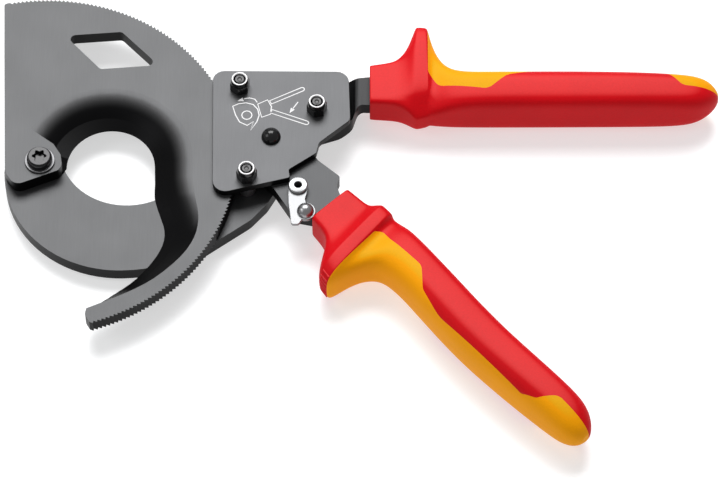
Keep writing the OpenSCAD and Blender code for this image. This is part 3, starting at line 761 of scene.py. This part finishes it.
def rounded(corners, count=6):
    """A closed outline in plan, in mm, from corners [x, y, radius]."""
    points = []
    for k, (x, y, r) in enumerate(corners):
        here = Vector((x, y))
        before = (Vector(corners[k - 1][:2]) - here).normalized()
        after = (Vector(corners[(k + 1) % len(corners)][:2]) - here).normalized()
        half = before.angle(after) / 2
        centre = here + (before + after).normalized() * r / sin(half)
        start = here + before * r / tan(half) - centre
        sweep = copysign(pi - 2 * half, before.x * after.y - before.y * after.x)
        for j in range(count + 1):
            turn = Matrix.Rotation(-sweep * j / count, 2)
            points.append(centre + turn @ start)
    return points


def pad_block(grip_place, outline):
    """The space that the soft pad takes, as a tall block to cut a grip with."""
    return loft("pad_block", [[grip_place @ (Vector((p.x, p.y, z)) * mm) for p in outline]
                              for z in (-20, 20)])


# Along the grip: x, inner side, palm side, half thickness, squareness inside and at the palm,
# slope, and how much of the thickness falls away at the inner side
fixed_stations = (
    (0, -5.9, 11.8, 7.3, 9, 9, 0.04), (0.9, -6.05, 12, 7.5, 9, 9, 0.04),
    (7.5, -6.4, 12.9, 7.7, 9, 9, 0.04), (10.5, -6.9, 14.1, 7.9, 8, 8, 0.05, 0.02),
    (13, -7.8, 16.6, 8.5, 7, 7, 0.05, 0.12), (15.2, -9.1, 20.4, 9.3, 7, 6, 0.04, 0.32),
    (17.2, -10.5, 26.6, 10.4, 7, 5, 0.03, 0.58), (18.2, -11, 29.6, 10.7, 7, 5, 0.02, 0.68),
    (18.9, -11.1, 29.9, 10.8, 7, 5, 0.02, 0.7), (22.2, -10.2, 29.7, 10.8, 7, 5, 0.02, 0.68),
    (22.9, -9.9, 28.9, 10.5, 6, 5, 0.03, 0.6), (23.7, -9.9, 26.4, 9.4, 5, 4, 0.12, 0.3),
    (25.2, -10.2, 20.8, 8.7, 5, 3.4, 0.22), (28, -10, 14.6, 9.3, 5, 3, 0.21),
    (32, -9.4, 10.7, 10.4, 5.5, 2.8, 0.19), (38, -8.8, 9.4, 11.2, 6, 2.6, 0.17),
    (46, -8.7, 9.3, 11.5, 6, 2.6, 0.17), (66, -8.6, 9.3, 11.6, 6, 2.6, 0.17),
    (86, -8.5, 9.3, 11.6, 6, 2.6, 0.17), (106, -8.4, 8.9, 11.5, 6, 2.6, 0.17),
    (120, -8.5, 8.2, 11.1, 5, 2.6, 0.16), (128, -8.2, 7.8, 9.8, 4, 2.6, 0.14),
    (133, -6, 6.5, 7.4, 3.2, 2.5, 0.12), (136, -3.6, 3.9, 4.6, 2.6, 2.4, 0.1),
    (137.2, -1.4, 1.9, 2, 2.2, 2.2, 0.05))
moving_stations = (
    (0, -7.8, 11.6, 7.3, 9, 9, 0.04), (0.9, -7.9, 11.75, 7.5, 9, 9, 0.04),
    (7.5, -8.1, 12.5, 7.7, 9, 9, 0.04), (10.5, -8.4, 14.4, 7.9, 8, 8, 0.05),
    (12.6, -9.1, 18, 8.3, 7, 6, 0.06), (14.6, -10.5, 22.6, 9.1, 7, 4.4, 0.06),
    (16.4, -11.7, 25.6, 10.1, 7, 3.8, 0.06), (17.3, -12, 26.4, 10.7, 7, 3.6, 0.06),
    (18, -12, 26.7, 10.8, 7, 3.6, 0.06), (22, -12, 27.4, 10.8, 7, 3.6, 0.06),
    (22.7, -11.9, 27.2, 10.6, 6, 3.6, 0.06), (23.6, -11.6, 26.2, 9.4, 5, 3.4, 0.1),
    (25.2, -12, 21.6, 8.6, 5, 3, 0.17), (27.4, -12.2, 15.4, 9, 5, 2.8, 0.18),
    (30.5, -12.4, 10.4, 10.1, 5.5, 2.8, 0.17), (34, -12, 7.8, 10.8, 6, 2.6, 0.17),
    (39, -11.6, 6.9, 11.3, 6, 2.6, 0.17), (46, -11, 7, 11.5, 6, 2.6, 0.17),
    (53, -10.4, 7.8, 11.6, 6, 2.6, 0.17), (61, -9.7, 8.6, 11.6, 6, 2.6, 0.17),
    (70, -8.8, 9.5, 11.6, 6, 2.6, 0.17), (80, -8.1, 10.1, 11.6, 6, 2.6, 0.17),
    (90, -7.6, 10.2, 11.6, 6, 2.6, 0.17), (106, -7.6, 9.7, 11.5, 6, 2.6, 0.17),
    (120, -7.8, 8.8, 11.1, 5, 2.6, 0.16), (128, -7.7, 8.4, 9.8, 4, 2.6, 0.14),
    (133, -6.5, 7.8, 8.1, 3.2, 2.5, 0.12), (137, -3.8, 5.9, 5.6, 2.6, 2.4, 0.1),
    (138.8, -1.2, 3.4, 2.4, 2.2, 2.2, 0.05))
pad_tail = ((46.5, -2.2, 5), (54, 4.4, 5), (66, 7.6, 30), (111, 8.2, 5), (117, 6.3, 3), (122.5, -0.2, 4),
            (146, -0.2, 1), (146, 40, 0.5))
fixed_pad = rounded(((22.9, 40, 0.5), (22.9, 6.6, 2), (27, 0.4, 4), *pad_tail))
moving_pad = rounded(((26, 40, 0.5), (22.5, -0.5, 2), (24.2, -3.2, 2), (29, -2.4, 8), *pad_tail))
open_angle = radians(46.5)
middle_level = (blade_low.z + blade_high.z) / 2 / mm
fixed_place = Matrix.Translation(Vector((128.5, 31, middle_level)) * mm)
moving_place = (Matrix.Translation(Vector((114.5, -20.3, middle_level)) * mm)
                @ Matrix.Rotation(-open_angle, 4, "Z") @ Matrix.Scale(-1, 4, (0, 1, 0)))
# Painted light on both plastics: the red is lighter and pinker on upward faces, a painted sheen from the
# lamp above, and a deeper red on the sides as painted shade; the yellow is yellower on top and more
# orange on the sides, likewise painted light and shade
hard_red = speckled_finish("hard_red", (0.78, 0.032, 0.034), 0.45, 0.0, side=(0.66, 0.002, 0.007),
                           spread=0.22, grain_scale=1300, bump_height=0.1, specular=0.12)
soft_yellow = speckled_finish("soft_yellow", (0.87, 0.42, 0.004), 0.5, 0.0, side=(1.0, 0.385, 0.0),
                              spread=0.14, grain_scale=1300, bump_height=0.1, specular=0.1)
guard_tilts = (0, 0.115)
for side, grip_place, tilt, stations, pad_outline, body in (
        ("fixed", fixed_place, guard_tilts[0], fixed_stations, fixed_pad, "frame"),
        ("moving", moving_place, guard_tilts[1], moving_stations, moving_pad, "handle")):
    hard_part = grip_blank(f"{side}_hard_grip", grip_place, tilt, stations)
    soft_part = grip_blank(f"{side}_soft_pad", grip_place, tilt, stations)
    cut(hard_part, pad_block(grip_place, pad_outline))
    cut(soft_part, pad_block(grip_place, pad_outline), "INTERSECT")
    close_up(hard_part, hard_red, 40)
    close_up(soft_part, soft_yellow, 40)
    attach(hard_part, body)
    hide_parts(f"{side}_grip_core")
    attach(soft_part, body)
    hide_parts(f"{side}_grip_pad")

# Eight fine ribs moulded across the palm end of the lower guard, for the thumb. They follow the
# rounded section of the rim, and stand out of it by a fraction of a millimetre.
rib_run, rib_turn, rib_pitch, rib_top = 4.2, radians(10), 1.9, 7.6
rib_along, rib_sink = 22.5, 0.15
rim_middle, rim_half, rim_thick, rim_softness = 7.5, 19.5, 10.8, 3.6
ribs = []
for k in range(8):
    bpy.ops.object.select_all(action="DESELECT")
    bpy.ops.mesh.primitive_cube_add(size=mm)
    rib = bpy.context.object
    bpy.ops.object.mode_set(mode="EDIT")
    bpy.ops.transform.resize(value=(rib_run, 0.7, 0.5))
    bpy.ops.mesh.bevel(offset=0.14 * mm, segments=2, affect="EDGES")
    bpy.ops.object.mode_set(mode="OBJECT")
    rib_level = rib_top - k * rib_pitch
    rounding = (1 - abs(rib_level / rim_thick) ** rim_softness) ** (1 / rim_softness)
    rib_reach = rim_middle + rim_half * rounding
    rib_spot = Vector((rib_along, rib_reach - rib_sink, rib_level)) * mm
    rib.data.transform(moving_place @ Matrix.Translation(rib_spot)
                       @ Matrix.Rotation(rib_turn, 4, "Z"))
    ribs.append(rib)
take_up(ribs[0])
for rib in ribs:
    rib.select_set(True)
bpy.ops.object.join()
guard_ribs = ribs[0]
guard_ribs.name = "guard_ribs"
bpy.ops.object.mode_set(mode="EDIT")
bpy.ops.mesh.select_all(action="SELECT")
bpy.ops.mesh.normals_make_consistent(inside=False)
bpy.ops.object.mode_set(mode="OBJECT")
close_up(guard_ribs, hard_red, 40)
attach(guard_ribs, "handle")
